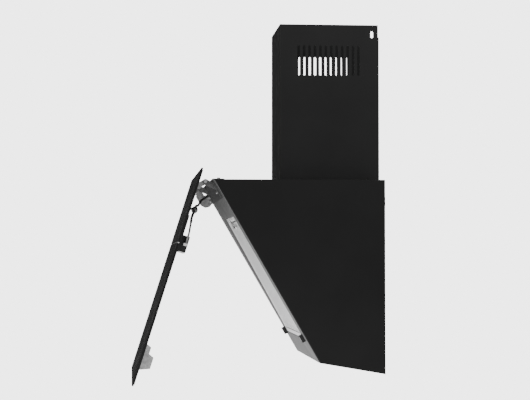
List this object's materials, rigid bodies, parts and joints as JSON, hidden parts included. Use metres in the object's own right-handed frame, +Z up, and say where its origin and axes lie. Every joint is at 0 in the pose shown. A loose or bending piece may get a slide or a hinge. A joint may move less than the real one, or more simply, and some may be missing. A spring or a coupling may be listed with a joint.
{
  "type": "cooker hood",
  "caption": "Angled wall-mounted cooker hood with a slotted rectangular chimney, a fan behind a tilting grease filter, and a black glass front panel that swings open on top hinges.",
  "frame": {"origin": "on the wall plane, midway between the screws of the wall hooks", "axes": "+X along the wall, +Y into the wall, +Z up; the front panel faces -Y"},
  "size_m": [0.598, 0.5981, 0.8586],
  "materials": {
    "casing_paint": "satin black powder coat",
    "frame_paint": "grey powder coat",
    "chimney_paint": "satin black powder coat",
    "zinc_steel": "zinc plated, dull",
    "screw_steel": "zinc plated",
    "rubber_black": "matte",
    "cable_black": "matte sheath",
    "lead_grey": "semi-matte insulation",
    "galvanised_sheet": "galvanised",
    "duct_plastic": "moulded, matte",
    "wheel_plastic": "moulded, matte",
    "motor_body": "cast",
    "control_plastic": "moulded, matte",
    "light_plastic": "moulded, matte",
    "circuit_board": "solder mask",
    "ferrite_grey": "moulded shell over ferrite",
    "black_glass": "polished, back-painted black",
    "carrier_paint": "satin black powder coat",
    "trim_aluminium": "satin",
    "filter_aluminium": "expanded sheet, satin",
    "handle_wire": "polished wire",
    "magnet_nickel": "nickel plated",
    "lamp_trim": "satin",
    "lamp_glass": "frosted",
    "lamp_body": "cast heat sink"
  },
  "bodies": {
    "hood": {"side_panel_right": "casing_paint", "side_panel_left": "casing_paint", "top_panel": "casing_paint", "back_panel": "casing_paint", "bottom_panel": "casing_paint", "front_frame": "frame_paint", "hinge_rail": "zinc_steel", "rail_screws": "screw_steel", "wall_hooks": "zinc_steel", "wall_buffers": "rubber_black", "chimney_cover": "chimney_paint", "chimney_feet": "chimney_paint", "foot_screws": "screw_steel", "outlet_collar": "duct_plastic", "flap_rod": "screw_steel", "scroll_half_right": "duct_plastic", "scroll_half_left": "duct_plastic", "motor": "motor_body", "motor_mount": "galvanised_sheet", "inlet_guard": "galvanised_sheet", "electronics_box": "control_plastic", "electronics_lid": "light_plastic", "mains_gland": "control_plastic", "lamp_bezels": "lamp_trim", "lamp_lenses": "lamp_glass", "lamp_housings": "lamp_body", "filter_pins": "screw_steel", "filter_magnets": "magnet_nickel", "rail_leaves": "zinc_steel", "hinge_pins": "screw_steel", "stay_plate": "zinc_steel", "stay_rivet": "screw_steel", "hinge_screws": "screw_steel", "catch_housings": "control_plastic", "catch_magnets": "magnet_nickel", "cable_grommet": "rubber_black", "hinge_cable": "cable_black"},
    "front_panel": {"panel_carrier": "carrier_paint", "glass_upper": "black_glass", "glass_lower": "black_glass", "seam_trim": "trim_aluminium", "panel_leaves": "zinc_steel", "stay_arm": "zinc_steel", "panel_screws": "screw_steel", "strikes": "zinc_steel", "control_housing": "control_plastic", "control_cover": "light_plastic", "control_board": "circuit_board", "ferrite_core": "ferrite_grey", "cable_clip": "control_plastic", "sleeve_cable": "cable_black", "control_leads": "lead_grey", "lead_plug": "light_plastic"},
    "grease_filter": {"filter_frame": "filter_aluminium", "filter_mesh": "filter_aluminium"},
    "filter_handle": {"filter_handle": "handle_wire"},
    "fan_wheel": {"fan_wheel": "wheel_plastic", "motor_shaft": "screw_steel"},
    "flap_front": {"flap_front": "duct_plastic"},
    "flap_rear": {"flap_rear": "duct_plastic"}
  },
  "joints": [
    {"name": "panel_hinge", "type": "hinge", "parent": "hood", "child": "front_panel", "pos_m": [0, -0.42611, 0.04694], "axis": [1, 0, 0], "range_deg": [0, 47.25], "deforming": ["hinge_cable"]},
    {"name": "filter_hinge", "type": "hinge", "parent": "hood", "child": "grease_filter", "pos_m": [0, -0.19195, -0.31645], "axis": [-1, 0, 0], "range_deg": [-20, 0]},
    {"name": "handle_pivot", "type": "hinge", "parent": "grease_filter", "child": "filter_handle", "pos_m": [0, -0.35371, -0.03966], "axis": [1, 0, 0], "range_deg": [-90, 0]},
    {"name": "fan_spin", "type": "hinge", "parent": "hood", "child": "fan_wheel", "pos_m": [0, -0.176, -0.118], "axis": [1, 0, 0], "continuous": true},
    {"name": "flap_front_pivot", "type": "hinge", "parent": "hood", "child": "flap_front", "pos_m": [0, -0.121, 0.0748], "axis": [-1, 0, 0], "range_deg": [0, 80]},
    {"name": "flap_rear_pivot", "type": "hinge", "parent": "hood", "child": "flap_rear", "pos_m": [0, -0.121, 0.0748], "axis": [1, 0, 0], "range_deg": [0, 80]}
  ]
}
